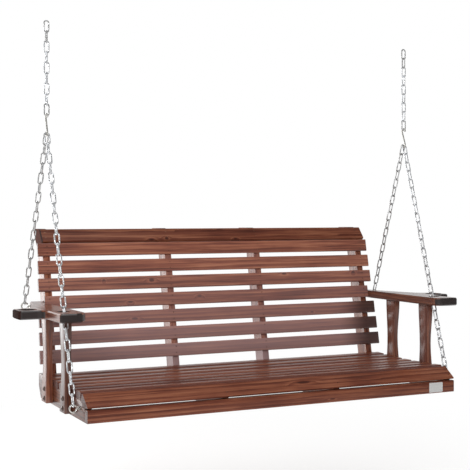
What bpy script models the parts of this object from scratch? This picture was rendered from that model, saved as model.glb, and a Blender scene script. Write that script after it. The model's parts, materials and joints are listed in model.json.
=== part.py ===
"""Porch swing bench: a slatted seat and back, shaped arms with cup holes, four chains and two S-hooks."""

import math

import bmesh
import bpy
from mathutils import Matrix, Vector

# Seat, in metres: X runs along the bench, Y back from the apron's front face, Z up from the rails' undersides
seat_length = 1.344
seat_height = 0.085
seat_scoop = 0.004
seat_slat_count = 7
seat_slat_width = 0.045
seat_slat_gap = 0.0166
seat_slat_thick = 0.022
seat_back_clearance = 0.002
board_edge_radius = 0.003

# Front edge of the seat
nose_width = 0.071
nose_thick = 0.028
nose_angle = math.radians(34.3)
nose_gap = 0.019
apron_slit = 0.005
apron_thick = 0.026

# Rails at the ends and ribs inboard, all cut from one board thickness
rail_thick = 0.022
rail_heel_height = 0.081
rail_heel_cut = 0.025
rail_heel_rise = 0.040
heel_clearance = 0.004
rib_reach = 0.217

# Back
recline = math.radians(11.3)
back_foot_height = 0.119
back_foot_depth = 0.4882
rail_tail = 0.0592
back_slat_count = 7
back_slat_width = 0.0463
back_slat_pitch = 0.0618
back_slat_thick = 0.011
back_bottom_lap = 0.010
back_top_inset = 0.002
crest_width = 0.0555
crest_thick = 0.015
crest_gap = 0.0065
crest_lean = math.radians(40.0)
crest_inset = 0.014
crest_shift = 0.006
cut_slat_clearance = 0.0035
cut_slat_place = 3
stile_depth = 0.062
stile_thick = 0.025
stile_foot_height = 0.012

# Posts under the arms
post_width = 0.059
post_waist = 0.044
post_thick = 0.024
post_waist_thick = 0.020
post_foot_height = 0.006
post_stations = 10
front_post_place = 0.155
rear_post_lead = 0.1208

# Arms: shared outline, mirrored for the left
arm_top_height = 0.325
arm_thick = 0.028
arm_inner_lap = 0.0037
arm_heel_clearance = 0.0088
arm_width = 0.091
arm_front_place = 0.0634
arm_tail_length = 0.1098
arm_tail_taper = 0.025
arm_front_radius = 0.038
arm_corner_radius = 0.006
shelf_width = 0.084
shelf_front_place = 0.2264
shelf_rear_place = 0.3154
shelf_fillet = 0.028
shelf_corner_radius = 0.012
shelf_heel_width = 0.020
shelf_heel_place = 0.3414
arm_waist_inset = 0.022
arm_waist_lead = 0.0138
arm_heel_length = 0.0598
arm_edge_radius = 0.004
cup_hole_radius = 0.031
cup_hole_sides = 32
cup_inset = 0.038
chain_hole_radius = 0.021
chain_hole_sides = 24
chain_hole_lead = 0.003

# Eye bolts and carriage bolts
eye_wire = 0.006
eye_radius = 0.0115
front_eye_place = 0.0717
front_eye_height = 0.037
front_eye_lean = 0.005
rear_eye_length = 0.0855
rear_eye_lean = 0.0155
eye_sides = 6
eye_steps = 12
washer_radius = 0.0065
washer_clearance = 0.001
washer_thick = 0.0015
nut_radius = 0.0057
nut_thick = 0.005
nut_sides = 6
bolt_radius = 0.003
bolt_head_radius = 0.008
bolt_head_rise = 0.0035
bolt_sides = 8
low_bolt_height = 0.020
bolt_lead = 0.006
thread_reach = 0.002

# Chain links, all alike
chain_wire = 0.0048
link_width = 0.020
link_inner = 0.0339
wire_sides = 4
bend_steps = 3
front_link_count = 26
rear_link_count = 18
upper_link_count = 6
hang_inset = 0.038

# S-hooks that join the lower chains to the upper ones
hook_wire = 0.006
hook_inner_radius = 0.0065
hook_inner_length = 0.064
hook_steps = 8
hook_sides = 6
hook_mouth = math.radians(205.0)

# Fits
gap = 0.0003
bolt_clearance = 0.0004
link_weld = 0.0002
overrun = 0.004
merge_distance = 0.000005
arc_steps = 3
edge_steps = 2

# Places that follow from the sizes
half_length = seat_length / 2
seat_depth = back_foot_depth + rail_tail
rear_post_place = back_foot_depth - rear_post_lead
arm_waist_place = back_foot_depth - arm_waist_lead
arm_heel_place = back_foot_depth + arm_heel_length
rear_eye_place = back_foot_depth + rear_eye_length
arm_rear_place = back_foot_depth + arm_tail_length
back_bottom_reach = half_length + back_bottom_lap
back_top_reach = half_length - back_top_inset
crest_reach = back_top_reach - crest_inset
high_bolt_height = seat_height - seat_slat_thick - seat_scoop - washer_radius - washer_clearance
rail_inner = half_length - rail_thick
stile_outer = rail_inner - gap
stile_inner = stile_outer - stile_thick
rib_inner = rib_reach - rail_thick
arm_inner_reach = stile_outer - arm_inner_lap
arm_heel_reach = stile_outer + arm_heel_clearance
cut_slat_reach = arm_heel_reach - cut_slat_clearance
arm_outer_reach = arm_inner_reach + arm_width
arm_waist_reach = arm_outer_reach - arm_waist_inset
arm_tail_reach = arm_waist_reach - arm_tail_taper
shelf_reach = arm_outer_reach + shelf_width
shelf_heel_reach = arm_outer_reach + shelf_heel_width
cup_reach = shelf_reach - cup_inset
hang_reach = arm_outer_reach - hang_inset
front_eye_reach = hang_reach - front_eye_lean
rear_eye_reach = hang_reach + rear_eye_lean
slat_pitch = seat_slat_width + seat_slat_gap
stile_front = back_foot_depth + (back_slat_thick + gap) / math.cos(recline)
bed_drop = back_foot_height - seat_height + seat_slat_thick
last_slat_rear = stile_front - bed_drop * math.tan(recline) - seat_back_clearance
arm_under = arm_top_height - arm_thick
post_inner = half_length + gap
post_outer = post_inner + post_thick
bend_radius = (link_width - chain_wire) / 2
facet = math.cos(math.pi / bend_steps / 2)
bend_inner = (bend_radius - chain_wire / 2) * facet
end_wire = chain_wire * facet
link_pitch = link_inner + link_weld
hung_pitch = link_inner - gap
hook_radius = hook_inner_radius + hook_wire / 2
hook_centres = hook_inner_length - 2 * hook_inner_radius
rear_eye_height = arm_under + arm_thick / 2

colours = {
    "stained_wood": ((0.165, 0.055, 0.032), 0.32, 0.0),
    "zinc_steel": ((0.60, 0.60, 0.58), 0.35, 0.9),
}


def clear_scene():
    for old in list(bpy.data.objects):
        bpy.data.objects.remove(old, do_unlink=True)


def new_material(name):
    colour, roughness, metallic = colours[name.rsplit(":", 1)[0]]
    made = bpy.data.materials.new(name)
    made.use_nodes = True
    shader = made.node_tree.nodes["Principled BSDF"]
    shader.inputs["Base Color"].default_value = (*colour, 1.0)
    shader.inputs["Roughness"].default_value = roughness
    shader.inputs["Metallic"].default_value = metallic
    return made


def new_empty(name, place, parent=None):
    empty = bpy.data.objects.new(name, None)
    bpy.context.collection.objects.link(empty)
    empty.parent = parent
    empty.location = Vector(place) - (parent.matrix_world.translation if parent else Vector())
    bpy.context.view_layer.update()
    return empty


def new_piece(name, bm, finish, parent, origin=(0, 0, 0)):
    """Make one piece from a mesh drawn in world places less origin, hung on an empty."""
    bmesh.ops.recalc_face_normals(bm, faces=bm.faces)
    mesh = bpy.data.meshes.new(name)
    bm.to_mesh(mesh)
    bm.free()
    piece = bpy.data.objects.new(name, mesh)
    bpy.context.collection.objects.link(piece)
    piece.parent = parent
    piece.location = Vector(origin) - parent.matrix_world.translation
    piece.data.materials.append(new_material(f"{finish}:{name}"))
    return piece


def shade_round(piece, limit=math.radians(50.0)):
    piece.data.shade_smooth()
    piece.data.set_sharp_from_angle(angle=limit)


def fillet(corners, steps):
    """Outline whose corners (a, b, radius) become arcs; a radius of zero stays a point."""
    points = []
    for index, (a, b, radius) in enumerate(corners):
        here = Vector((a, b))
        if radius == 0:
            points.append(here)
            continue
        back = (Vector(corners[index - 1][:2]) - here).normalized()
        ahead = (Vector(corners[(index + 1) % len(corners)][:2]) - here).normalized()
        corner = back.angle(ahead)
        centre = here + (back + ahead).normalized() * radius / math.sin(corner / 2)
        start = here + back * radius / math.tan(corner / 2) - centre
        turn = math.pi - corner
        if back.cross(ahead) > 0:
            turn = -turn
        for step in range(steps + 1):
            swing = Matrix.Rotation(turn * step / steps, 2)
            points.append(centre + swing @ start)
    return points


def prism(outline, axis, low, high):
    """Extrude a flat outline along X, or along Z, from low to high."""
    bm = bmesh.new()
    if axis == "X":
        corners = [bm.verts.new((low, point[0], point[1])) for point in outline]
        shift = Vector((high - low, 0, 0))
    else:
        corners = [bm.verts.new((point[0], point[1], low)) for point in outline]
        shift = Vector((0, 0, high - low))
    face = bm.faces.new(corners)
    grown = bmesh.ops.extrude_face_region(bm, geom=[face])
    moved = [item for item in grown["geom"] if isinstance(item, bmesh.types.BMVert)]
    bmesh.ops.translate(bm, verts=moved, vec=shift)
    return bm


def board(centre, tilt, width, thick, low, high):
    """A board with eased long edges, lying along X, its width turned up by tilt."""
    across = width / 2
    deep = thick / 2
    corners = [(-across, -deep), (across, -deep), (across, deep), (-across, deep)]
    outline = fillet([(a, b, board_edge_radius) for a, b in corners], edge_steps)
    turn = Matrix.Rotation(tilt, 2)
    return prism([turn @ point + Vector(centre) for point in outline], "X", low, high)


def add_bevel(piece, width, segments=1):
    bevel = piece.modifiers.new("eased_edges", "BEVEL")
    bevel.width = width
    bevel.segments = segments
    bevel.limit_method = "ANGLE"
    bevel.angle_limit = math.radians(40.0)


def hide_cutter(cutter):
    cutter.hide_render = True
    cutter.display_type = "WIRE"
    return cutter


def add_boolean(piece, other, operation):
    boolean = piece.modifiers.new(operation.lower(), "BOOLEAN")
    boolean.operation = operation
    boolean.solver = "EXACT"
    boolean.object = other


def along_x(side, low, high):
    """Order two reaches from the middle for the side they are on."""
    return (low, high) if side > 0 else (-high, -low)


def cylinder_x(bm, radius, sides, low, high, place, height):
    """Add a closed cylinder lying along X."""
    turn = Matrix.Rotation(math.pi / 2, 4, "Y")
    centre = Matrix.Translation(((low + high) / 2, place, height))
    bmesh.ops.create_cone(bm, cap_ends=True, segments=sides, radius1=radius, radius2=radius,
                          depth=high - low, matrix=centre @ turn)


def turned_x(profile, sides, side, place, height):
    """Spin a profile of (reach, radius) points about a line along X."""
    bm = bmesh.new()
    chain = [bm.verts.new((side * reach, place, height + radius)) for reach, radius in profile]
    edges = [bm.edges.new(pair) for pair in zip(chain, chain[1:])]
    bmesh.ops.spin(bm, geom=chain + edges, cent=(0, place, height), axis=(1, 0, 0),
                   angle=math.tau, steps=sides, use_merge=True)
    bmesh.ops.remove_doubles(bm, verts=bm.verts, dist=merge_distance)
    return bm


def slat_line(index):
    """Middle (Y, Z) and tilt of a seat slat's top face, on the shallow scoop of the seat."""
    rear = last_slat_rear - (seat_slat_count - 1 - index) * slat_pitch
    middle = rear - seat_slat_width / 2
    span = (seat_slat_count - 1) * slat_pitch / 2
    scoop_middle = last_slat_rear - seat_slat_width / 2 - span
    share = (middle - scoop_middle) / span
    height = seat_height - seat_scoop * (1 - share * share)
    return middle, height, math.atan(2 * seat_scoop * share / span)


def nose_frame():
    """Crest and lower edge of the sloped front board's top face, and its inward direction."""
    first_front = slat_line(0)[0] - seat_slat_width / 2
    crest = Vector((first_front - nose_gap, seat_height))
    down = Vector((-math.cos(nose_angle), -math.sin(nose_angle)))
    inward = Vector((math.sin(nose_angle), -math.cos(nose_angle)))
    return crest, crest + down * nose_width, inward


def nose_outline():
    """Side view of the sloped front board, its lower edge cut level above the apron."""
    crest, lip, inward = nose_frame()
    level = Vector((nose_thick / math.sin(nose_angle), 0))
    return fillet([(*crest, board_edge_radius), (*lip, board_edge_radius), (*(lip + level), 0),
                   (*(crest + inward * nose_thick), 0)], edge_steps)


def rail_outline(front, heel):
    """Side view of a rail: slats lie on its top edge, the sloped board on its nose."""
    crest, lip, inward = nose_frame()
    under_crest = crest + inward * (nose_thick + gap)
    slope = math.tan(nose_angle)
    ledge = lip.y - gap
    ledge_end = under_crest.x + (ledge - under_crest.y) / slope
    bed = []
    for index in range(seat_slat_count):
        middle, height, tilt = slat_line(index)
        drop = seat_slat_thick + gap
        for edge in (-seat_slat_width / 2, seat_slat_width / 2):
            place = middle + edge * math.cos(tilt) + drop * math.sin(tilt)
            bed.append((place, height + edge * math.sin(tilt) - drop * math.cos(tilt)))
    first = bed[0]
    knee = min(under_crest.x + (first[1] - under_crest.y) / slope, first[0])
    knee_height = under_crest.y + (knee - under_crest.x) * slope
    bed_rear = bed[-1][1]
    points = [(front, 0), (seat_depth - rail_heel_cut, 0), (seat_depth, rail_heel_rise)]
    if heel:
        shelf = last_slat_rear + heel_clearance
        points += [(seat_depth, rail_heel_height), (shelf, rail_heel_height), (shelf, bed_rear)]
    else:
        points += [(seat_depth, bed_rear)]
    points += list(reversed(bed))
    points += [(knee, knee_height), (ledge_end, ledge), (front, ledge)]
    return [Vector(point) for point in points]


def back_point(rise, depth):
    """(Y, Z) of a point on the reclined back: rise along the slats' front plane, depth behind it."""
    sine = math.sin(recline)
    cosine = math.cos(recline)
    return Vector((back_foot_depth + rise * sine + depth * cosine,
                   back_foot_height + rise * cosine - depth * sine))


def crest_frame():
    """Lower edge of the top board's front face, the way up it and the way behind it."""
    top = (back_slat_count - 1) * back_slat_pitch + back_slat_width
    foot = back_point(top + crest_gap, 0)
    up = Vector((math.sin(crest_lean), math.cos(crest_lean)))
    behind = Vector((math.cos(crest_lean), -math.sin(crest_lean)))
    return foot, up, behind


def stile_outline():
    """Side view of a stile: straight behind the slats, bent back along the top board, cut level."""
    seat = back_slat_thick + gap
    foot, up, behind = crest_frame()
    low = (stile_foot_height - back_foot_height) / math.cos(recline)
    neck = (back_slat_count - 1) * back_slat_pitch + back_slat_width - gap
    front_low = back_point(low, seat)
    rear_low = back_point(low, seat + stile_depth)
    front_neck = back_point(neck, seat)
    under = foot + behind * (crest_thick + gap)
    crown = under + behind * stile_depth
    level = foot.y + up.y * crest_width
    tip = under + up * (level - under.y) / up.y
    rear_tip = crown + up * (level - crown.y) / up.y
    way = (back_point(neck, 0) - back_point(0, 0)).normalized()
    bend = rear_low + way * (crown - rear_low).dot(behind) / way.dot(behind)
    return fillet([
        (*front_low, 0), (*rear_low, stile_depth / 3), (*bend, stile_depth),
        (*rear_tip, board_edge_radius), (*tip, 0), (*under, 0), (*front_neck, 0)], arc_steps)


def arm_outline(side):
    """Plan of an arm: straight front, a cup shelf outboard, and a tail that tapers to the stile."""
    tail_inner = stile_outer + gap
    corners = [
        (arm_inner_reach, arm_front_place, arm_front_radius),
        (arm_outer_reach, arm_front_place, arm_corner_radius),
        (arm_outer_reach, shelf_front_place, shelf_fillet),
        (shelf_reach, shelf_front_place, shelf_corner_radius),
        (shelf_reach, shelf_rear_place, shelf_corner_radius),
        (shelf_heel_reach, shelf_heel_place, shelf_fillet),
        (arm_waist_reach, arm_waist_place, shelf_fillet),
        (arm_tail_reach, arm_rear_place, arm_corner_radius),
        (tail_inner, arm_rear_place, 0),
        (tail_inner, arm_heel_place, 0),
        (arm_heel_reach, arm_heel_place, 0)]
    return [Vector((side * point.x, point.y)) for point in fillet(corners, arc_steps)]


def link_bmesh():
    """One chain link: a wire ring spun round two bends, in the XZ plane, its middle at the origin."""
    bm = bmesh.new()
    straight = link_inner - 2 * bend_inner
    start = Matrix.Translation((bend_radius, 0, -straight / 2)) @ Matrix.Rotation(math.pi / 2, 4, "Z")
    section = bmesh.ops.create_circle(bm, segments=wire_sides, radius=chain_wire / 2,
                                      matrix=start)["verts"]
    edges = list({edge for vert in section for edge in vert.link_edges})
    for end in (1, -1):
        grown = bmesh.ops.extrude_edge_only(bm, edges=edges)["geom"]
        section = [item for item in grown if isinstance(item, bmesh.types.BMVert)]
        edges = [item for item in grown if isinstance(item, bmesh.types.BMEdge)]
        bmesh.ops.translate(bm, verts=section, vec=(0, 0, end * straight))
        spun = bmesh.ops.spin(bm, geom=section + edges, cent=(0, 0, end * straight / 2),
                              axis=(0, -1, 0), angle=math.pi, steps=bend_steps)["geom_last"]
        edges = [item for item in spun if isinstance(item, bmesh.types.BMEdge)]
    bmesh.ops.remove_doubles(bm, verts=bm.verts, dist=merge_distance)
    bmesh.ops.recalc_face_normals(bm, faces=bm.faces)
    mesh = bpy.data.meshes.new("link_pattern")
    bm.to_mesh(mesh)
    bm.free()
    return mesh


def chain_frame(top, foot):
    """Matrix at top whose -Z points to foot, with X kept along the bench."""
    up = (top - foot).normalized()
    across = (Vector((1, 0, 0)) - up * up.x).normalized()
    forward = up.cross(across)
    turn = Matrix((across, forward, up)).transposed().to_4x4()
    return Matrix.Translation(top) @ turn


def links_bmesh(pattern, frame, indices, first_turned):
    """Links of one run: every second one turned a quarter about the run."""
    bm = bmesh.new()
    for index in indices:
        drop = Matrix.Translation((0, 0, -(link_inner / 2 + index * link_pitch)))
        quarter = (index + first_turned) % 2
        placed = frame @ drop @ Matrix.Rotation(quarter * math.pi / 2, 4, "Z")
        before = len(bm.verts)
        bm.from_mesh(pattern)
        bm.verts.ensure_lookup_table()
        bmesh.ops.transform(bm, matrix=placed, verts=bm.verts[before:])
    return bm


def add_chain(name, pattern, frame, count, first_turned, parent, origin):
    """A run of links, welded where one bears on the next, from its top link's inner bearing down."""
    odd = links_bmesh(pattern, frame, range(0, count, 2), first_turned)
    run = new_piece(name, odd, "zinc_steel", parent, origin)
    if count > 1:
        even = links_bmesh(pattern, frame, range(1, count, 2), first_turned)
        mates = hide_cutter(new_piece(f"{name}_mates", even, "zinc_steel", parent, origin))
        add_boolean(run, mates, "UNION")
    shade_round(run, math.radians(80.0))
    return run


def hook_bmesh(reach, centre):
    """S-hook in the YZ plane: half of it swept from the middle, then turned over for the rest."""
    bm = bmesh.new()
    cross = math.acos(2 * hook_radius / hook_centres)
    upper = Vector((0, hook_centres / 2))
    touch = upper + Vector((math.sin(cross), -math.cos(cross))) * hook_radius
    heading = math.atan2(touch.y, touch.x)
    face = Matrix.Rotation(heading - math.pi / 2, 4, "X")
    section = bmesh.ops.create_circle(bm, segments=hook_sides, radius=hook_wire / 2,
                                      matrix=face)["verts"]
    edges = list({edge for vert in section for edge in vert.link_edges})
    grown = bmesh.ops.extrude_edge_only(bm, edges=edges)["geom"]
    section = [item for item in grown if isinstance(item, bmesh.types.BMVert)]
    edges = [item for item in grown if isinstance(item, bmesh.types.BMEdge)]
    bmesh.ops.translate(bm, verts=section, vec=(0, touch.x, touch.y))
    spun = bmesh.ops.spin(bm, geom=section + edges, cent=(0, upper.x, upper.y), axis=(1, 0, 0),
                          angle=hook_mouth, steps=hook_steps)["geom_last"]
    rim = [item for item in spun if isinstance(item, bmesh.types.BMEdge)]
    bmesh.ops.holes_fill(bm, edges=rim, sides=hook_sides)
    half = bpy.data.meshes.new("hook_half")
    bm.to_mesh(half)
    before = len(bm.verts)
    bm.from_mesh(half)
    bm.verts.ensure_lookup_table()
    bmesh.ops.transform(bm, matrix=Matrix.Rotation(math.pi, 4, "X"), verts=bm.verts[before:])
    bmesh.ops.remove_doubles(bm, verts=bm.verts, dist=merge_distance)
    bmesh.ops.translate(bm, verts=bm.verts, vec=(reach, *centre))
    return bm


def lower_seats():
    """Offsets (Y, Z) from the lower loop's centre to the two top wires that share its seat."""
    spread = (chain_wire + gap) / 2
    loop = hook_inner_radius * math.cos(hook_mouth / hook_steps / 2)
    seat = loop - chain_wire / 2 - gap
    drop = -math.sqrt(seat * seat - spread * spread)
    return Vector((-spread, drop)), Vector((spread, drop))


def run_reach(count):
    """Distance from a run's top wire to the eye's wire that it hooks round."""
    run = (count - 1) * link_pitch + link_inner
    return end_wire / 2 + run - gap - eye_wire / 2


def flat_reach(count, reach):
    """The same distance as the side view shows it, less the run's small lean along the bench."""
    lean = reach - hang_reach
    return math.sqrt(run_reach(count) ** 2 - lean ** 2)


def hang_place():
    """(Y, Z) of the lower loop's centre, where the taut front and rear runs meet."""
    front_seat, rear_seat = lower_seats()
    front = Vector((front_eye_place, front_eye_height + eye_radius)) - front_seat
    rear = Vector((rear_eye_place, rear_eye_height + eye_radius)) - rear_seat
    front_reach = flat_reach(front_link_count, front_eye_reach)
    rear_reach = flat_reach(rear_link_count, rear_eye_reach)
    base = rear - front
    span = base.length
    along = (front_reach ** 2 - rear_reach ** 2 + span ** 2) / (2 * span)
    rise = math.sqrt(front_reach ** 2 - along ** 2)
    way = base / span
    return front + way * along + Vector((-way.y, way.x)) * rise


def make_seat(parent, origin):
    for index in range(seat_slat_count):
        middle, height, tilt = slat_line(index)
        inward = Vector((math.sin(tilt), -math.cos(tilt))) * seat_slat_thick / 2
        bm = board((middle + inward.x, height + inward.y), tilt, seat_slat_width, seat_slat_thick,
                   -half_length, half_length)
        new_piece(f"seat_slat_{index + 1}", bm, "stained_wood", parent, origin)
    new_piece("front_slat", prism(nose_outline(), "X", -half_length, half_length), "stained_wood",
              parent, origin)
    lip = nose_frame()[1]
    apron_height = lip.y - apron_slit
    middle = (apron_thick / 2, apron_height / 2)
    bm = board(middle, math.pi / 2, apron_height, apron_thick, -half_length, half_length)
    new_piece("apron", bm, "stained_wood", parent, origin)


def make_rails(parent, origin, holes):
    front = apron_thick + gap
    for side, word in ((-1, "left"), (1, "right")):
        low, high = along_x(side, rail_inner, half_length)
        rail = new_piece(f"side_rail_{word}", prism(rail_outline(front, True), "X", low, high),
                         "stained_wood", parent, origin)
        add_boolean(rail, holes[side], "DIFFERENCE")
        low, high = along_x(side, rib_inner, rib_reach)
        new_piece(f"seat_rib_{word}", prism(rail_outline(front, False), "X", low, high),
                  "stained_wood", parent, origin)


def make_back(parent, origin, holes):
    for index in range(back_slat_count):
        rise = index * back_slat_pitch + back_slat_width / 2
        share = index / (back_slat_count - 1)
        reach = back_bottom_reach + (back_top_reach - back_bottom_reach) * share
        if index == cut_slat_place:
            reach = cut_slat_reach
        centre = back_point(rise, back_slat_thick / 2)
        bm = board(centre, math.pi / 2 - recline, back_slat_width, back_slat_thick, -reach, reach)
        new_piece(f"back_slat_{index + 1}", bm, "stained_wood", parent, origin)
    foot, up, behind = crest_frame()
    centre = foot + up * crest_width / 2 + behind * crest_thick / 2
    bm = board(centre, math.pi / 2 - crest_lean, crest_width, crest_thick,
               crest_shift - crest_reach, crest_shift + crest_reach)
    new_piece("crest_slat", bm, "stained_wood", parent, origin)
    outline = stile_outline()
    for side, word in ((-1, "left"), (1, "right")):
        low, high = along_x(side, stile_inner, stile_outer)
        outer = new_piece(f"stile_{word}", prism(outline, "X", low, high), "stained_wood", parent,
                          origin)
        add_boolean(outer, holes[side], "DIFFERENCE")
        low, high = along_x(side, rib_inner - gap - stile_thick, rib_inner - gap)
        new_piece(f"middle_stile_{word}", prism(outline, "X", low, high), "stained_wood", parent,
                  origin)


def post_bmesh(side, place):
    """A post lofted through level sections: full at both ends, drawn in at the waist."""
    bm = bmesh.new()
    top = arm_under - gap
    inner = side * post_inner
    middle = place + post_width / 2
    ring = None
    for station in range(post_stations + 1):
        share = station / post_stations
        belly = math.sin(math.pi * share) ** 2
        half = (post_width - (post_width - post_waist) * belly) / 2
        outer = inner + side * (post_thick - (post_thick - post_waist_thick) * belly)
        height = post_foot_height + (top - post_foot_height) * share
        corners = [(inner, middle - half), (outer, middle - half),
                   (outer, middle + half), (inner, middle + half)]
        level = [bm.verts.new((x, y, height)) for x, y in corners]
        if ring is None:
            bm.faces.new(level)
        else:
            for index in range(4):
                after = (index + 1) % 4
                bm.faces.new((ring[index], ring[after], level[after], level[index]))
        ring = level
    bm.faces.new(ring)
    return bm


def make_posts(parent, origin, holes):
    for side, word in ((-1, "left"), (1, "right")):
        for place, end in ((front_post_place, "front"), (rear_post_place, "rear")):
            bm = post_bmesh(side, place)
            post = new_piece(f"{end}_post_{word}", bm, "stained_wood", parent, origin)
            add_boolean(post, holes[side], "DIFFERENCE")


def make_arms(parent, origin, holes, hole_place):
    for side, word in ((-1, "left"), (1, "right")):
        bm = prism(arm_outline(side), "Z", arm_under, arm_top_height)
        arm = new_piece(f"arm_{word}", bm, "stained_wood", parent, origin)
        add_bevel(arm, arm_edge_radius)
        bores = bmesh.new()
        cup_place = (shelf_front_place + shelf_rear_place) / 2
        middle = (arm_under + arm_top_height) / 2
        for reach, place, radius, sides in (
                (cup_reach, cup_place, cup_hole_radius, cup_hole_sides),
                (hang_reach, hole_place, chain_hole_radius, chain_hole_sides)):
            bmesh.ops.create_cone(bores, cap_ends=True, segments=sides, radius1=radius,
                                  radius2=radius, depth=arm_thick + 2 * overrun,
                                  matrix=Matrix.Translation((side * reach, place, middle)))
        cutter = hide_cutter(new_piece(f"arm_bores_{word}", bores, "stained_wood", parent, origin))
        add_boolean(arm, cutter, "DIFFERENCE")
        add_boolean(arm, holes[side], "DIFFERENCE")


def bolt_places():
    for place in (front_post_place, rear_post_place):
        for height in (low_bolt_height, high_bolt_height):
            yield place + post_width / 2 - bolt_lead, height


def make_holes(parent, origin):
    """Clearance holes for the bolts of each side, cut from every board that they pass through."""
    holes = {}
    for side, word in ((-1, "left"), (1, "right")):
        bm = bmesh.new()
        radius = bolt_radius + bolt_clearance
        low, high = along_x(side, rail_inner - overrun, post_outer + overrun)
        for place, height in bolt_places():
            cylinder_x(bm, radius, bolt_sides, low, high, place, height)
        cylinder_x(bm, radius, bolt_sides, low, high, front_eye_place, front_eye_height)
        low, high = along_x(side, stile_inner - overrun, arm_waist_reach)
        cylinder_x(bm, radius, bolt_sides, low, high, rear_eye_place, rear_eye_height)
        holes[side] = hide_cutter(new_piece(f"holes_{word}", bm, "zinc_steel", parent, origin))
    return holes


def add_nut(piece_name, parent, origin, side, low, place, height):
    """Plain nut, kept as a hidden mesh that its bolt is joined with."""
    bm = bmesh.new()
    ends = along_x(side, low, low + nut_thick)
    cylinder_x(bm, nut_radius, nut_sides, *ends, place, height)
    return hide_cutter(new_piece(piece_name, bm, "zinc_steel", parent, origin))


def make_post_bolts(parent, origin):
    """Domed bolts through post and rail, each with a washer and a nut inside the rail."""
    washer_outer = rail_inner - gap
    washer_inner = washer_outer - washer_thick
    head = post_outer + gap
    tail = washer_inner - nut_thick - thread_reach
    profile = [(tail, 0), (tail, bolt_radius), (washer_inner, bolt_radius),
               (washer_inner, washer_radius), (washer_outer, washer_radius),
               (washer_outer, bolt_radius), (head, bolt_radius), (head, bolt_head_radius),
               (head + bolt_head_rise / 2, bolt_head_radius * math.cos(math.pi / 6)),
               (head + bolt_head_rise, 0)]
    for side, word in ((-1, "left"), (1, "right")):
        for number, (place, height) in enumerate(bolt_places(), start=1):
            name = f"post_bolt_{word}_{number}"
            bm = turned_x(profile, bolt_sides, side, place, height)
            bolt = new_piece(name, bm, "zinc_steel", parent, origin)
            low = washer_inner - nut_thick
            nut = add_nut(f"{name}_nut", parent, origin, side, low, place, height)
            add_boolean(bolt, nut, "UNION")
            shade_round(bolt)


def eye_ring(side, reach, place, height):
    """The eye: a wire spun round a level line that runs from the front to the back."""
    bm = bmesh.new()
    start = Matrix.Translation((side * reach, place, height + eye_radius))
    turned = start @ Matrix.Rotation(math.pi / 2, 4, "Y")
    section = bmesh.ops.create_circle(bm, segments=eye_sides, radius=eye_wire / 2, matrix=turned)
    verts = section["verts"]
    edges = list({edge for vert in verts for edge in vert.link_edges})
    bmesh.ops.spin(bm, geom=verts + edges, cent=(side * reach, place, height), axis=(0, 1, 0),
                   angle=math.tau, steps=eye_steps, use_merge=True)
    bmesh.ops.remove_doubles(bm, verts=bm.verts, dist=merge_distance)
    return bm


def make_eye_bolt(name, parent, origin, side, reach, place, height, faces):
    """Eye bolt through boards whose inner and outer faces are given, with washers and nuts."""
    inner, outer = faces
    outer_washer = outer + gap
    inner_washer = inner - gap
    tip = inner_washer - washer_thick - nut_thick - thread_reach
    neck = reach - eye_radius
    profile = [(tip, 0), (tip, bolt_radius), (inner_washer - washer_thick, bolt_radius),
               (inner_washer - washer_thick, washer_radius), (inner_washer, washer_radius),
               (inner_washer, bolt_radius), (outer_washer, bolt_radius),
               (outer_washer, washer_radius), (outer_washer + washer_thick, washer_radius),
               (outer_washer + washer_thick, bolt_radius), (neck, bolt_radius), (neck, 0)]
    shank = turned_x(profile, bolt_sides, side, place, height)
    bolt = new_piece(name, shank, "zinc_steel", parent, origin)
    ring = eye_ring(side, reach, place, height)
    add_boolean(bolt, hide_cutter(new_piece(f"{name}_ring", ring, "zinc_steel", parent, origin)),
                "UNION")
    nuts = {"nut": inner_washer - washer_thick - nut_thick}
    room = neck - eye_wire / 2 - outer_washer - washer_thick
    if room > nut_thick:
        nuts["outer_nut"] = outer_washer + washer_thick
    for word, low in nuts.items():
        nut = add_nut(f"{name}_{word}", parent, origin, side, low, place, height)
        add_boolean(bolt, nut, "UNION")
    shade_round(bolt)


def make_eye_bolts(parent, origin):
    # The arm's outer edge runs straight from its waist to its tail, and the washer lies on it there
    share = (rear_eye_place - arm_waist_place) / (arm_rear_place - arm_waist_place)
    edge = arm_waist_reach + (arm_tail_reach - arm_waist_reach) * share
    lift = washer_radius * (arm_waist_reach - arm_tail_reach) / (arm_rear_place - arm_waist_place)
    for side, word in ((-1, "left"), (1, "right")):
        make_eye_bolt(f"front_eye_bolt_{word}", parent, origin, side, front_eye_reach,
                      front_eye_place, front_eye_height, (rail_inner, half_length))
        make_eye_bolt(f"rear_eye_bolt_{word}", parent, origin, side, rear_eye_reach,
                      rear_eye_place, rear_eye_height, (stile_inner, edge + lift))


def make_lower_chains(pattern, parent, origin, meet):
    """Front and rear runs of each side, from their seats in the S-hook down to the eyes."""
    front_seat, rear_seat = lower_seats()
    for side, word in ((-1, "left"), (1, "right")):
        for end, seat, count, reach, place, height in (
                ("front", front_seat, front_link_count, front_eye_reach, front_eye_place,
                 front_eye_height),
                ("rear", rear_seat, rear_link_count, rear_eye_reach, rear_eye_place,
                 rear_eye_height)):
            top = Vector((side * hang_reach, *(meet + seat)))
            foot = Vector((side * reach, place, height + eye_radius))
            frame = chain_frame(top, foot) @ Matrix.Translation((0, 0, -end_wire / 2))
            add_chain(f"{end}_chain_{word}", pattern, frame, count, 0, parent, origin)


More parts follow.
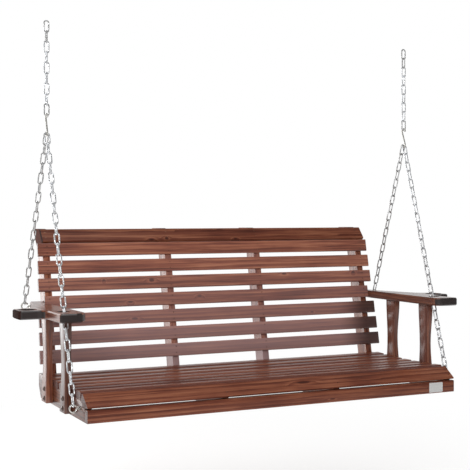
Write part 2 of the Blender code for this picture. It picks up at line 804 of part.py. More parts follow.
def build():
    clear_scene()
    pattern = link_bmesh()
    meet = hang_place()
    # Heights down from the top links' inner bearings, where the swing is hung up
    swing_height = -(link_inner + end_wire / 2)
    sway_height = swing_height - hung_pitch
    run_top = sway_height + end_wire / 2 + gap
    level_height = run_top - (upper_link_count - 1) * link_pitch - link_inner - end_wire / 2
    pitch_height = level_height - hung_pitch
    hook_height = pitch_height + end_wire / 2 + gap - hook_inner_radius - hook_centres / 2
    bench_height = hook_height - hook_centres / 2 - meet.y
    origin = (0, -meet.x, bench_height)

    root = new_empty("hang_point", (0, 0, 0))
    swing = new_empty("swing_axis", (0, 0, swing_height), root)
    sways = {side: new_empty(f"sway_axis_{word}", (side * hang_reach, 0, sway_height), swing)
             for side, word in ((-1, "left"), (1, "right"))}
    level = new_empty("level_axis", (-hang_reach, 0, level_height), sways[-1])
    bench = new_empty("pitch_axis", (0, 0, pitch_height), level)

    for side, word in ((-1, "left"), (1, "right")):
        hung = Matrix.Translation((side * hang_reach, 0, 0))
        add_chain(f"top_link_{word}", pattern, hung, 1, 0, root, (0, 0, 0))
        add_chain(f"swing_link_{word}", pattern, hung @ Matrix.Translation((0, 0, -hung_pitch)),
                  1, 1, swing, (0, 0, 0))
        add_chain(f"upper_chain_{word}", pattern, hung @ Matrix.Translation((0, 0, run_top)),
                  upper_link_count, 0, sways[side], (0, 0, 0))
        hanger_top = pitch_height + end_wire / 2 + link_inner
        add_chain(f"hanger_link_{word}", pattern, hung @ Matrix.Translation((0, 0, hanger_top)),
                  1, 0, level, (0, 0, 0))
        bm = hook_bmesh(side * hang_reach, (0, hook_height))
        shade_round(new_piece(f"s_hook_{word}", bm, "zinc_steel", bench, (0, 0, 0)))

    holes = make_holes(bench, origin)
    make_seat(bench, origin)
    make_rails(bench, origin, holes)
    make_back(bench, origin, holes)
    make_posts(bench, origin, holes)
    share = (rear_eye_height - front_eye_height - eye_radius) / (meet.y - front_eye_height
                                                                - eye_radius)
    hole_place = front_eye_place + (meet.x - front_eye_place) * share - chain_hole_lead
    make_arms(bench, origin, holes, hole_place)
    make_post_bolts(bench, origin)
    make_eye_bolts(bench, origin)
    make_lower_chains(pattern, bench, origin, meet)
    print("hang line behind the apron", round(meet.x, 6), "bench height",
          round(bench_height, 6))
    print("axes swing", round(swing_height, 6), "sway", round(sway_height, 6),
          "level", round(level_height, 6), "pitch", round(pitch_height, 6))


build()
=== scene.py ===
# %% [markdown]
# # A porch swing bench, dressed for its portrait
#
# The measured parts of the bench are already there, each a closed solid that can move. This lesson
# keeps every one of them in place and gives it what the solids leave out: eased edges, stained
# grain, knots, bright zinc and screw heads.

# %% Load the measured parts
import json
import math
import random

import bmesh
import bpy
from bmesh.types import BMEdge, BMFace, BMVert
from mathutils import Matrix, Vector

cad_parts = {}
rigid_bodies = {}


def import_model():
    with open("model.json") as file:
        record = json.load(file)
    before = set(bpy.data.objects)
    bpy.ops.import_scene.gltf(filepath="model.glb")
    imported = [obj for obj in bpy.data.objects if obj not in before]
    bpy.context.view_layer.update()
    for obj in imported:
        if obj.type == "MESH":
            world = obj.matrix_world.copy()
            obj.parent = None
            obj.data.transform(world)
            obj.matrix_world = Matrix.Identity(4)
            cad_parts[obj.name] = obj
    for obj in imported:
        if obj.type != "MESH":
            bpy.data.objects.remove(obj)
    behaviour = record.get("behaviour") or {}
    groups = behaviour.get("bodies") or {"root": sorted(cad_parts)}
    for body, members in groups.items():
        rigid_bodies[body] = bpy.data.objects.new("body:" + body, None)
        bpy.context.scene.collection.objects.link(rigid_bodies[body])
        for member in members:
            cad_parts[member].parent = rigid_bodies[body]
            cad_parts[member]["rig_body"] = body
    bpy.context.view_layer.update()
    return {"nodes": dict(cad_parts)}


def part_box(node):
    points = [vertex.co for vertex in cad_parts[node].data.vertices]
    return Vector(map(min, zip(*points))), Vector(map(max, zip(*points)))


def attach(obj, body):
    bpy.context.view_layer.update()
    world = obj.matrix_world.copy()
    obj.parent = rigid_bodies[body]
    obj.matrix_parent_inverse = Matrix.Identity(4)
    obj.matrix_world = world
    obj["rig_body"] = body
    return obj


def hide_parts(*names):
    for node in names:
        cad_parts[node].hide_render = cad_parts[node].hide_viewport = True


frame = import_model()
nodes = frame["nodes"]
body_of = {name: node["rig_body"] for name, node in nodes.items()}

# %% [markdown]
# ## The camera
#
# The picture was taken from the front left, a little above the seat, with a long lens. The camera
# is placed from the apron, the board under the seat's front edge, so it follows the bench if its
# sizes change. A small vertical shift frames the chains without a tilt, which keeps the posts
# upright.

# %% Camera
apron_low, apron_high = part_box("apron")
camera_side = -1.6307
camera_back = 3.0163
camera_rise = 0.6117
camera_yaw = math.radians(-25.62)
camera_pitch = math.radians(-0.071)
camera_roll = math.radians(-0.1164)

camera_data = bpy.data.cameras.new("portrait")
camera_data.sensor_width = 36.0
camera_data.lens = 80.66
camera_data.shift_x = 0.0003
camera_data.shift_y = -0.032
camera = bpy.data.objects.new("portrait", camera_data)
bpy.context.scene.collection.objects.link(camera)
camera_place = Vector((camera_side, apron_low.y - camera_back, apron_low.z + camera_rise))
camera.matrix_world = (
    Matrix.Translation(camera_place) @ Matrix.Rotation(camera_yaw, 4, "Z")
    @ Matrix.Rotation(math.pi / 2 + camera_pitch, 4, "X") @ Matrix.Rotation(camera_roll, 4, "Z"))
bpy.context.scene.camera = camera
bpy.context.scene.view_settings.view_transform = "Standard"
print("camera stands", round((camera_place - apron_low).length, 3), "m from the apron's corner")


# %% [markdown]
# ## Node helpers
#
# Every finish below is a small tree of shader nodes. These helpers keep the trees readable: each
# adds one kind of node and hands on its output.

# %% Helpers for shader nodes
def fill(tree, node, inputs):
    """Fill a node's inputs, by name or number, with values or other nodes' outputs."""
    for key, value in inputs.items():
        if isinstance(value, bpy.types.NodeSocket):
            tree.links.new(value, node.inputs[key])
        else:
            node.inputs[key].default_value = value


def add_node(tree, kind, inputs, **settings):
    """Make a shader node of a kind, set its options and fill its sockets."""
    made = tree.nodes.new("ShaderNode" + kind)
    for key, value in settings.items():
        setattr(made, key, value)
    fill(tree, made, inputs)
    return made


def math_node(tree, operation, first, second):
    """One step of arithmetic on two values."""
    return add_node(tree, "Math", {0: first, 1: second}, operation=operation).outputs[0]


def vector_node(tree, operation, first, second=(0.0, 0.0, 0.0)):
    """One step of arithmetic on two vectors; a length comes out as a value."""
    made = add_node(tree, "VectorMath", {0: first, 1: second}, operation=operation)
    return made.outputs["Value" if operation == "LENGTH" else "Vector"]


def ramp_node(tree, factor, stops):
    """Colour ramp from (position, colour) pairs."""
    made = add_node(tree, "ValToRGB", {"Fac": factor})
    ramp = made.color_ramp
    while len(ramp.elements) < len(stops):
        ramp.elements.new(0.5)
    for element, (position, colour) in zip(ramp.elements, stops):
        element.position = position
        element.color = (*colour, 1.0)
    return made.outputs["Color"]


def range_node(tree, value, low, high, new_low=0.0, new_high=1.0):
    """Map a value smoothly from one range to another."""
    return add_node(tree, "MapRange", {
        "Value": value, "From Min": low, "From Max": high, "To Min": new_low, "To Max": new_high},
        interpolation_type="SMOOTHSTEP").outputs["Result"]


def mapped(tree, place, change):
    """A place turned, moved or stretched."""
    return add_node(tree, "Mapping", {"Vector": place, **change}).outputs[0]


# %% Helpers for finishes
def mix_node(tree, share, colour, other):
    """Draw a colour towards a plain one by a share; 6, 7 and 2 are the node's colour sockets."""
    colours = {0: share, 6: colour, 7: (*other, 1.0)}
    return add_node(tree, "Mix", colours, data_type="RGBA").outputs[2]


def noise_node(tree, place, scale, detail, roughness=0.5):
    sizes = {"Vector": place, "Scale": scale, "Detail": detail, "Roughness": roughness}
    return add_node(tree, "TexNoise", sizes).outputs["Fac"]


def bump_node(tree, height, strength, distance):
    sizes = {"Height": height, "Strength": strength, "Distance": distance}
    return add_node(tree, "Bump", sizes).outputs[0]


def mix_shader(tree, share, first, second):
    return add_node(tree, "MixShader", {0: share, 1: first.outputs[0], 2: second.outputs[0]})


def new_finish(name):
    """An empty material with its shader and its object coordinates."""
    made = bpy.data.materials.new(name)
    made.use_nodes = True
    tree = made.node_tree
    shader = tree.nodes["Principled BSDF"]
    place = add_node(tree, "TexCoord", {}).outputs["Object"]
    return made, tree, shader, place


# %% [markdown]
# ## The studio
#
# The bench hangs in a white studio. The world is white where the camera or a clear pane sees it,
# and dimmer where it only lights, so the background can be pure white without washing out the
# wood. In a reflection it is white only behind the bench and low down, like a lit back wall, so
# the boards' fronts and tops keep their colour.

# %% World
lighting_strength = 0.45
behind_range = (-0.35, 0.25)
height_range = (0.25, 0.62)
least_mirrored = 0.12


def shown(tree):
    """One where a camera, a reflection or a clear pane looks, and else zero."""
    path = add_node(tree, "LightPath", {}).outputs
    seen = math_node(tree, "MAXIMUM", path["Is Camera Ray"], path["Is Glossy Ray"])
    return math_node(tree, "MAXIMUM", seen, path["Is Transmission Ray"])


world = bpy.data.worlds.new("white_studio")
bpy.context.scene.world = world
world.use_nodes = True
sky = world.node_tree
sky.nodes.clear()
dim = add_node(sky, "Background",
               {"Color": (1.0, 0.99, 0.98, 1.0), "Strength": lighting_strength})
generated = add_node(sky, "TexCoord", {}).outputs["Generated"]
way = add_node(sky, "SeparateXYZ", {0: generated}).outputs
behind = range_node(sky, way["Y"], *behind_range)
low_down = range_node(sky, way["Z"], *height_range, 1.0, 0.0)
back_wall = math_node(sky, "MULTIPLY", behind, low_down)
mirrored = math_node(sky, "MAXIMUM", back_wall, least_mirrored)
glossy = add_node(sky, "LightPath", {}).outputs["Is Glossy Ray"]
shade = math_node(sky, "MULTIPLY", glossy, math_node(sky, "SUBTRACT", 1.0, mirrored))
strength = math_node(sky, "SUBTRACT", 1.0, shade)
white = add_node(sky, "Background", {"Color": (1.0, 1.0, 1.0, 1.0), "Strength": strength})
mixed = mix_shader(sky, shown(sky), dim, white)
add_node(sky, "OutputWorld", {"Surface": mixed.outputs[0]})
print("the world lights with", lighting_strength)

# %% [markdown]
# ## Lamps
#
# Three round softboxes light the bench. The one overhead gives the boards' tops their sheen, and
# the one at the front left lights the fronts and throws the soft shadow. The third, large and low
# at the back left, is there only to be mirrored: the lacquered sides of the posts and uprights
# face it at a glancing angle, which turns them pale.

# %% Lamps
behind_apron = Vector((0, 0.25, 0.25))
bench_middle = (apron_low + apron_high) / 2 + behind_apron
lamps = {
    "overhead": {"shift": (-0.3, -0.6, 2.6), "size": 2.2, "watts": 16},
    "front_left": {"shift": (-2.4, -3.0, 1.6), "size": 1.8, "watts": 58},
    "back_left": {"shift": (-2.2, 4.0, 0.5), "size": 3.4, "watts": 62},
}


def add_lamp(name, shift, size, watts):
    """A round softbox that looks at the bench's middle and isn't seen itself."""
    data = bpy.data.lights.new(name, "AREA")
    data.shape = "DISK"
    data.size = size
    data.energy = watts
    lamp = bpy.data.objects.new(name, data)
    lamp.visible_camera = False
    bpy.context.scene.collection.objects.link(lamp)
    place = bench_middle + Vector(shift)
    aim = (bench_middle - place).to_track_quat("-Z", "Y")
    lamp.matrix_world = Matrix.Translation(place) @ aim.to_matrix().to_4x4()


for name, lamp in lamps.items():
    add_lamp(name, **lamp)
print("lamps", len(lamps), "round", [round(value, 3) for value in bench_middle])

# %% [markdown]
# ## The floor
#
# The floor is a plain disc that belongs to the studio. Near its middle it is a matt grey that
# a little glow lifts to almost white, so only a faint shadow shows. Further out it fades into pure
# white, which joins the background without a line.

# %% Floor disc
floor_drop = 0.45
floor_radius = 6.0
floor_mesh = bpy.data.meshes.new("studio_floor")
bm = bmesh.new()
bmesh.ops.create_circle(bm, cap_ends=True, segments=64, radius=floor_radius,
                        matrix=Matrix.Translation((0, 0, apron_low.z - floor_drop)))
bm.to_mesh(floor_mesh)
bm.free()
floor = bpy.data.objects.new("studio_floor", floor_mesh)
bpy.context.scene.collection.objects.link(floor)
print("floor lies", floor_drop, "m under the bench")

# %% Floor finish
floor_fade = (0.5, 2.6)
floor_glow = 0.50
floor_finish, tree, shader, place = new_finish("studio_floor")
fill(tree, shader, {"Base Color": (0.8, 0.8, 0.8, 1.0), "Roughness": 0.9})
flat = vector_node(tree, "MULTIPLY", place, (1.0, 1.0, 0.0))
far = range_node(tree, vector_node(tree, "LENGTH", flat), *floor_fade)
lift = add_node(tree, "Emission", {"Strength": floor_glow})
lit = add_node(tree, "AddShader", {0: shader.outputs[0], 1: lift.outputs[0]})
watched = shown(tree)
near = mix_shader(tree, watched, shader, lit)
rim = math_node(tree, "MULTIPLY", far, watched)
final = mix_shader(tree, rim, near, add_node(tree, "Emission", {"Strength": 1.0}))
tree.links.new(final.outputs[0], tree.nodes["Material Output"].inputs["Surface"])
floor_mesh.materials.append(floor_finish)
print("floor fades out at", floor_fade[1], "m")

# %% [markdown]
# ## Stains and painted sheen
#
# The boards are softwood under a reddish-brown stain and a satin lacquer. Five stains, from nearly
# black to pale, are the stops of one colour ramp, and each board can have them all lighter or
# darker. The lower back boards look pale and pinkish in the picture, so the stains can also be
# drawn towards a pale pinkish colour, a painted sheen that stands in for a reflection on the
# lacquer.

# %% Stains and painted sheen
dark_stain = (0.050, 0.0120, 0.0070)
deep_stain = (0.105, 0.0265, 0.0145)
mid_stain = (0.175, 0.0480, 0.0260)
warm_stain = (0.255, 0.0830, 0.0420)
pale_stain = (0.360, 0.1400, 0.0760)
# Colour of the painted sheen, a pale reflection painted into the wood.
painted_sheen_colour = (0.420, 0.290, 0.295)
stain_stops = ((0.31, dark_stain), (0.45, deep_stain), (0.53, mid_stain), (0.60, warm_stain),
               (0.71, pale_stain))


def tinted(colour, tone):
    return tuple(channel * tone for channel in colour)


def with_painted_sheen(colour, painted_sheen):
    """A colour drawn towards the painted sheen by a share."""
    return tuple(channel * (1 - painted_sheen) + pale * painted_sheen for channel, pale in zip(colour, painted_sheen_colour))


print("stains", len(stain_stops))

# %% [markdown]
# ## Knots
#
# A knot is where a branch ran through: it darkens the wood and pushes the rings aside. The knots
# stand where the picture shows them, by their share of the board's length and height, with the
# half length and half height of the dark eye in metres. Near its middle the wood gets a dark spot,
# and further out the phase of the rings is shifted, which bends them round it.

# %% Knots of each board
knots_on = {
    "back_slat_3": ((0.789, 0.30, 0.006, 0.003), (0.255, 0.42, 0.012, 0.004)),
    "back_slat_4": ((0.443, 0.62, 0.009, 0.005), (0.237, 0.35, 0.009, 0.004)),
    "back_slat_5": ((0.309, 0.70, 0.011, 0.006), (0.175, 0.75, 0.005, 0.004),
                    (0.712, 0.88, 0.010, 0.004), (0.942, 0.85, 0.008, 0.005)),
    "crest_slat": ((0.308, 0.20, 0.012, 0.005), (0.354, 0.30, 0.007, 0.004),
                   (0.567, 0.20, 0.009, 0.004)),
    "front_slat": ((0.560, 0.62, 0.026, 0.004),),
    "apron": ((0.630, 0.30, 0.010, 0.002),),
}
knot_through = 0.06


def knots_of(name):
    """Places and reaches of a board's knots, from the board's own box."""
    low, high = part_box(name)
    made = []
    for along, up, half_length, half_height in knots_on.get(name, ()):
        place = (low.x + (high.x - low.x) * along, (low.y + high.y) / 2,
                 low.z + (high.z - low.z) * up)
        made.append((place, (half_length, knot_through, half_height)))
    return made


print("knots", sum(len(knots) for knots in knots_on.values()))

# %% Pattern of a knot
knot_rim = (0.45, 1.25)
knot_reach = 3.2
knot_swirl = 9.0
knot_darkness = 0.24


def knot_patterns(tree, place, knots):
    """How far the rings are pushed and how dark the spots are."""
    swirl = 0.0
    spots = 0.0
    for knot_place, reach in knots:
        offset = vector_node(tree, "SUBTRACT", place, knot_place)
        squeezed = vector_node(tree, "MULTIPLY", offset, tuple(1 / value for value in reach))
        away = vector_node(tree, "LENGTH", squeezed)
        bulge = range_node(tree, away, 0.0, knot_reach, knot_swirl, 0.0)
        spot = range_node(tree, away, *knot_rim, 1.0, 0.0)
        swirl = math_node(tree, "ADD", swirl, bulge)
        spots = math_node(tree, "MAXIMUM", spots, spot)
    return swirl, spots


# %% [markdown]
# ## Grain
#
# Stain sinks into soft early wood and leaves hard late wood lighter, so the grain shows as long
# streaks. Four patterns make it: growth rings cut lengthways, fine fibres, broader streaks, and
# slow blotches. They read the piece's own coordinates, turned so the grain runs along the board
# and drawn out along it, and each board starts at another place in the tree so that no two look
# alike.

# %% Grain
turns_to_grain = {"X": (0, 0, 0), "Y": (0, 0, -math.pi / 2), "Z": (0, math.pi / 2, 0)}
dice = random.Random(4)
ring_stretch = (0.07, 1.0, 1.0)
fibre_stretch = (5.0, 190.0, 190.0)
streak_stretch = (1.6, 105.0, 105.0)
ring_share = 0.14
fibre_share = 0.50
streak_share = 0.28
blotch_share = 0.20


def placed_in_tree(tree, place, grain, start):
    """Coordinates turned so X runs along the grain, then moved to a start in the tree."""
    along = mapped(tree, place, {"Rotation": turns_to_grain[grain]})
    return mapped(tree, along, {"Location": start})


def drawn_out_noise(tree, board, stretch, detail, roughness=0.5):
    """Noise drawn out along the board."""
    return noise_node(tree, mapped(tree, board, {"Scale": stretch}), 1.0, detail, roughness)


def wood_grain(tree, place, grain, knots):
    """The fine fibres, and the whole grain as one tone from dark to pale."""
    start = (dice.uniform(-5, 5), dice.uniform(0.05, 0.14), dice.uniform(-0.16, -0.06))
    board = placed_in_tree(tree, place, grain, start)
    swirl, spots = knot_patterns(tree, place, knots)
    rings = add_node(tree, "TexWave", {
        "Vector": mapped(tree, board, {"Scale": ring_stretch}), "Scale": 22.0, "Distortion": 7.0,
        "Detail": 3.0, "Detail Scale": 0.8, "Detail Roughness": 0.6, "Phase Offset": swirl},
        wave_type="RINGS", rings_direction="X", wave_profile="SAW")
    fibres = drawn_out_noise(tree, board, fibre_stretch, 5.0, 0.62)
    streaks = drawn_out_noise(tree, board, streak_stretch, 3.0)
    blotches = noise_node(tree, board, 5.5, 3.0)
    tone = math_node(tree, "MULTIPLY", rings.outputs["Fac"], ring_share)
    for pattern, share in ((fibres, fibre_share), (streaks, streak_share),
                           (blotches, blotch_share)):
        tone = math_node(tree, "ADD", tone, math_node(tree, "MULTIPLY", pattern, share))
    dark = math_node(tree, "MULTIPLY", spots, knot_darkness)
    return fibres, math_node(tree, "SUBTRACT", tone, dark)


# %% [markdown]
# ## Stained wood
#
# The finish joins them: the grain's tone picks a stain, and the fibres roughen the lacquer and
# lift the surface a little. Each board has its own weight of lacquer, because the seat is nearly
# matt while the posts mirror the studio. Two painted fades follow the picture, measured on the
# bench itself: the right ends of the three lowest back slats get a painted shade, as if the arm
# shaded them, and the middle uprights get a painted sheen between the seat and the lowest back
# slat.

# %% Stained wood
lacquer = 0.35
least_glossy = 0.2
glossy_specular = 0.5
matt_specular = 0.22
fibre_range = (0.3, 0.7)
wood_roughness = (0.40, 0.27)
# Painted shade on the right ends of the lowest back slats, and painted sheen on the middle
# uprights' feet.
shaded_ends = ("back_slat_1", "back_slat_2", "back_slat_3")
shade_range = (0.50, 0.64)
shade_share = 0.82
shade_colour = (0.030, 0.012, 0.009)
painted_sheen_feet = ("middle_stile_left", "middle_stile_right")
foot_painted_sheen = 0.8
foot_fade = 0.03


def top_of(part):
    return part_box(part)[1].z


def foot_painted_sheen_share(tree, height):
    """Share of painted sheen on a middle upright, by height."""
    slat_low, slat_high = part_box("back_slat_1")
    under_slat = range_node(tree, height, slat_low.z, slat_high.z, foot_painted_sheen, 0.0)
    seat_top = top_of("seat_slat_7")
    above_seat = range_node(tree, height, seat_top - foot_fade, seat_top)
    return math_node(tree, "MULTIPLY", under_slat, above_seat)


def stained_wood(part, grain, knots, tone, painted_sheen, coat):
    """Stained softwood for one part, with its grain along one axis."""
    finish, tree, shader, place = new_finish(f"wood_{part}")
    fibres, grain_tone = wood_grain(tree, place, grain, knots)
    stops = [(stop, with_painted_sheen(tinted(stain, tone), painted_sheen)) for stop, stain in stain_stops]
    colour = ramp_node(tree, grain_tone, stops)
    spot = add_node(tree, "SeparateXYZ", {0: place}).outputs
    # Painted shade darkens the slats' right ends.
    if part in shaded_ends:
        shade = range_node(tree, spot["X"], *shade_range, 0.0, shade_share)
        colour = mix_node(tree, shade, colour, shade_colour)
    # Painted sheen on the uprights' feet.
    if part in painted_sheen_feet:
        colour = mix_node(tree, foot_painted_sheen_share(tree, spot["Z"]), colour, painted_sheen_colour)
    specular = glossy_specular if coat > least_glossy else matt_specular
    fill(tree, shader, {
        "Base Color": colour, "Specular IOR Level": specular, "Coat Weight": coat,
        "Coat Roughness": 0.16, "Normal": bump_node(tree, fibres, 0.25, 0.0006),
        "Roughness": range_node(tree, fibres, *fibre_range, *wood_roughness)})
    return finish


# %% [markdown]
# ## End grain
#
# Cut across, the same wood drinks far more stain, so the faces that look along the grain get a
# finish of their own: near-black brown with faint rings. The ends of the long boards are lighter,
# so each direction of grain has its own tone, and the ends of arms and rails are polished. Two
# more stay matt: a dark one for the top board's ends and the cup shelves' outer faces, and a
# lighter one that is a painted shade, for the seat slats' narrow sides in the gaps between them
# and for the left upright's crown.

# %% End grain
end_dark = (0.016, 0.0080, 0.0075)
end_pale = (0.046, 0.0185, 0.0140)
end_stops = (0.25, 0.80)
end_tones = {"X": 3.6, "Y": 0.55, "Z": 1.3}
dark_matt_tone = 1.2
# Tone of the matt painted shade in the seat slats' gaps and on the left upright's crown.
painted_shade_tone = 5.0


def end_grain(name, grain, tone, coat=lacquer, start=None):
    """Dark wood cut across the grain, matt if it has no coat."""
    finish, tree, shader, place = new_finish(name)
    start = start or (0.0, dice.uniform(0.03, 0.08), dice.uniform(-0.08, -0.03))
    board = placed_in_tree(tree, place, grain, start)
    rings = add_node(tree, "TexWave", {
        "Vector": board, "Scale": 60.0, "Distortion": 2.5, "Detail": 2.0, "Detail Scale": 0.7},
        wave_type="RINGS", rings_direction="X", wave_profile="SIN")
    pores = noise_node(tree, board, 700.0, 2.0)
    both = math_node(tree, "ADD", rings.outputs["Fac"], pores)
    pattern = math_node(tree, "MULTIPLY", both, 0.5)
    colours = (tinted(end_dark, tone), tinted(end_pale, tone))
    colour = ramp_node(tree, pattern, list(zip(end_stops, colours)))
    fill(tree, shader, {
        "Base Color": colour, "Roughness": 0.42 if coat else 0.9, "Coat Weight": coat,
        "Specular IOR Level": 0.5 if coat else 0.1, "Coat Roughness": 0.2,
        "Normal": bump_node(tree, pores, 0.3, 0.0004)})
    return finish


end_finishes = {grain: end_grain(f"end_grain_{grain.lower()}", grain, tone)
                for grain, tone in end_tones.items()}
polished = end_finishes["Y"].node_tree
fill(polished, polished.nodes["Principled BSDF"], {"Coat Weight": 1.0, "Coat Roughness": 0.07})
raw_end = end_grain("end_grain_raw", "X", dark_matt_tone, coat=0.0)
# The lighter matt finish is painted shade for the gaps between seat slats and the left upright's
# crown.
matt_painted_shade = end_grain("matt_painted_shade", "X", painted_shade_tone, coat=0.0, start=(0.0, 0.05, -0.05))
print("end finishes", len(end_finishes) + 2)

# %% [markdown]
# ## Zinc plate
#
# Chains, hooks and bolts are zinc-plated steel. The plate is a metal, so its colour is its
# reflection. It isn't even: a faint crystal spangle, cloudy patches where the shine is duller, and
# a breath of yellow from the bath. One recipe makes five plates: the front and upper chains get a
# painted lit copy of the chain plate, brighter than the rear ones, and the post bolts and screws
# are dark and brown.

# %% Zinc plate
cloud_share = 0.8
crystal_share = 0.2
zinc_stops = (0.32, 0.50, 0.64)
yellow_breath = (1.03, 1.0, 0.93)
shine_range = (0.3, 0.7)
zinc_roughness = (0.42, 0.22)
plates = {
    "chain_zinc": ((0.66, 0.67, 0.69), (0.30, 0.31, 0.33), 90.0),
    # A painted lit copy of the chain plate, for the front and upper runs.
    "bright_zinc": ((0.90, 0.93, 0.98), (0.46, 0.48, 0.52), 90.0),
    "fitting_zinc": ((0.72, 0.72, 0.71), (0.40, 0.40, 0.39), 140.0),
    "dark_zinc": ((0.16, 0.12, 0.11), (0.05, 0.04, 0.04), 200.0),
    "screw_zinc": ((0.34, 0.20, 0.15), (0.20, 0.11, 0.08), 200.0),
}


def zinc_plate(name, bright, dull, cloud_scale):
    """A zinc plate whose colour wanders between a bright and a dull one."""
    finish, tree, shader, place = new_finish(name)
    clouds = noise_node(tree, place, cloud_scale, 3.0)
    crystals = add_node(tree, "TexVoronoi", {"Vector": place, "Scale": 900.0})
    grey = add_node(tree, "SeparateColor", {"Color": crystals.outputs["Color"]}).outputs["Red"]
    tone = math_node(tree, "ADD", math_node(tree, "MULTIPLY", clouds, cloud_share),
                     math_node(tree, "MULTIPLY", grey, crystal_share))
    middle = tuple((one + other) / 2 * tint
                   for one, other, tint in zip(bright, dull, yellow_breath))
    colour = ramp_node(tree, tone, list(zip(zinc_stops, (dull, middle, bright))))
    fill(tree, shader, {
        "Base Color": colour, "Metallic": 1.0, "Normal": bump_node(tree, clouds, 0.2, 0.0005),
        "Roughness": range_node(tree, tone, *shine_range, *zinc_roughness)})
    return finish


zinc = {name: zinc_plate(name, *look) for name, look in plates.items()}
print("zinc plates", len(zinc))


# %% [markdown]
# ## From solid to piece
#
# Each wooden part is copied and its triangles are merged back into whole faces, so that only its
# real edges are left to work on. Whatever is made then becomes a piece: it gets its finishes,
# rides on a body so that it moves with it, and stands for the solid it was made from.

# %% Copies and pieces
same_place = 0.00002
same_plane = math.radians(0.5)
board_smooth = math.radians(35)


def named(word):
    """Names of the parts with a word in their name."""
    return [name for name in sorted(nodes) if word in name]


def merged_copy(name):
    """A bmesh of a part with its loose triangles merged into whole flat faces."""
    bm = bmesh.new()
    bm.from_mesh(nodes[name].data)
    bmesh.ops.remove_doubles(bm, verts=bm.verts, dist=same_place)
    bmesh.ops.dissolve_limit(bm, angle_limit=same_plane, verts=bm.verts, edges=bm.edges)
    return bm


def finished_piece(bm, name, body, finishes, stands_for=(), smooth=board_smooth):
    """Turn a bmesh into a piece that rides on a body and, if asked, stands for solids."""
    mesh = bpy.data.meshes.new(name)
    bm.to_mesh(mesh)
    bm.free()
    for finish in finishes:
        mesh.materials.append(finish)
    mesh.shade_smooth()
    mesh.set_sharp_from_angle(angle=smooth)
    piece = bpy.data.objects.new(name, mesh)
    bpy.context.scene.collection.objects.link(piece)
    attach(piece, body)
    if stands_for:
        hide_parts(*stands_for)


def ease(bm, items, size, affect="EDGES", segments=1, clamp=False):
    """Bevel edges, or else corners."""
    bmesh.ops.bevel(bm, geom=items, offset=size, affect=affect, segments=segments, profile=0.5,
                    material=-1, clamp_overlap=clamp)


def steel_piece(bm, prefix, name, plate, smooth):
    """Turn a bmesh into a zinc-plated piece that stands for one solid."""
    finished_piece(bm, f"{prefix}_{name}", body_of[name], [zinc[plate]], [name],
                   smooth)


# %% [markdown]
# ## Eased edges and the faces' finishes
#
# No hand would leave saw-sharp edges on a seat, so a bevel of a millimetre or two eases them. It
# only takes wood away, so the copy stays inside its solid. The apron's front is set back a hair to
# leave room for the blank plate. Every board has three finishes: stained wood, end grain, and a
# matt one for faces that are dull in the picture, which on the seat slats' narrow sides and the
# left upright's crown is a painted shade. The left upright is cut round under its crown, so that
# the crown can be matt and painted shade.

# %% Which finish a face gets
wood_finish = 0
end_finish = 1
matt_finish = 2
facing = 0.6
matt_crown = "stile_left"
crown_height = 0.065
crown_foot = top_of(matt_crown) - crown_height
shelf_slack = 0.009
shelf_face = -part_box("arm_left")[0].x - shelf_slack


def finish_of_face(name, grain, face):
    """Which of its board's three finishes a face gets."""
    if name.startswith("arm_") and abs(face.calc_center_median().x) > shelf_face:
        return matt_finish
    # The seat slats' narrow sides, in the gaps between them, get the matt painted shade.
    if name.startswith("seat_slat") and abs(face.normal.y) > facing:
        return matt_finish
    if abs(face.normal["XYZ".index(grain)]) > facing:
        return end_finish
    # The left upright's crown gets the matt painted shade.
    if name == matt_crown and face.calc_center_median().z > crown_foot:
        return matt_finish
    return wood_finish


print("crown starts at", round(crown_foot, 3), "shelf faces at", round(shelf_face, 3))

# %% Helper: an eased board
sharp_angle = math.radians(30)
shortest_eased_edge = 0.0065
plate_bed = 0.0004


def eased_board(name, grain, easing, tone, painted_sheen, coat):
    """A wooden part with eased edges and its three finishes."""
    bm = merged_copy(name)
    if name == "apron":
        front = [vert for vert in bm.verts if vert.co.y < apron_low.y + plate_bed / 2]
        bmesh.ops.translate(bm, verts=front, vec=(0, plate_bed, 0))
    sharp = [edge for edge in bm.edges
             if len(edge.link_faces) == 2 and edge.calc_face_angle() > sharp_angle
             and edge.is_convex and edge.calc_length() > shortest_eased_edge]
    if easing:
        ease(bm, sharp, easing, segments=2, clamp=True)
    if name == matt_crown:
        bmesh.ops.bisect_plane(bm, geom=bm.verts[:] + bm.edges[:] + bm.faces[:], dist=0.00001,
                               plane_co=(0, 0, crown_foot), plane_no=(0, 0, 1))
    for face in bm.faces:
        face.material_index = finish_of_face(name, grain, face)
    wood = stained_wood(name, grain, knots_of(name), tone, painted_sheen, coat)
    end = raw_end if name == "crest_slat" else end_finishes[grain]
    # Seat slats and the left upright take the matt painted shade; other boards the dark raw end.
    matt = matt_painted_shade if name.startswith(("seat_slat", matt_crown)) else raw_end
    finished_piece(bm, f"board_{name}", body_of[name], [wood, end, matt], [name])


# %% [markdown]
# ## Each board's look
#
# No two boards took the stain alike, and the light falls unevenly in the picture. So each board or
# kind of board has a tone, which makes its stains lighter or darker, a share of painted sheen, and
# a weight of lacquer. So a tone is partly the board's own stain and partly painted light or shade.
# The back slats get more painted sheen towards the seat, the uprights' raised tones are painted
# light that lifts them out of the slats' shadow, and the left front post is the darkest, a painted
# shade on its front.

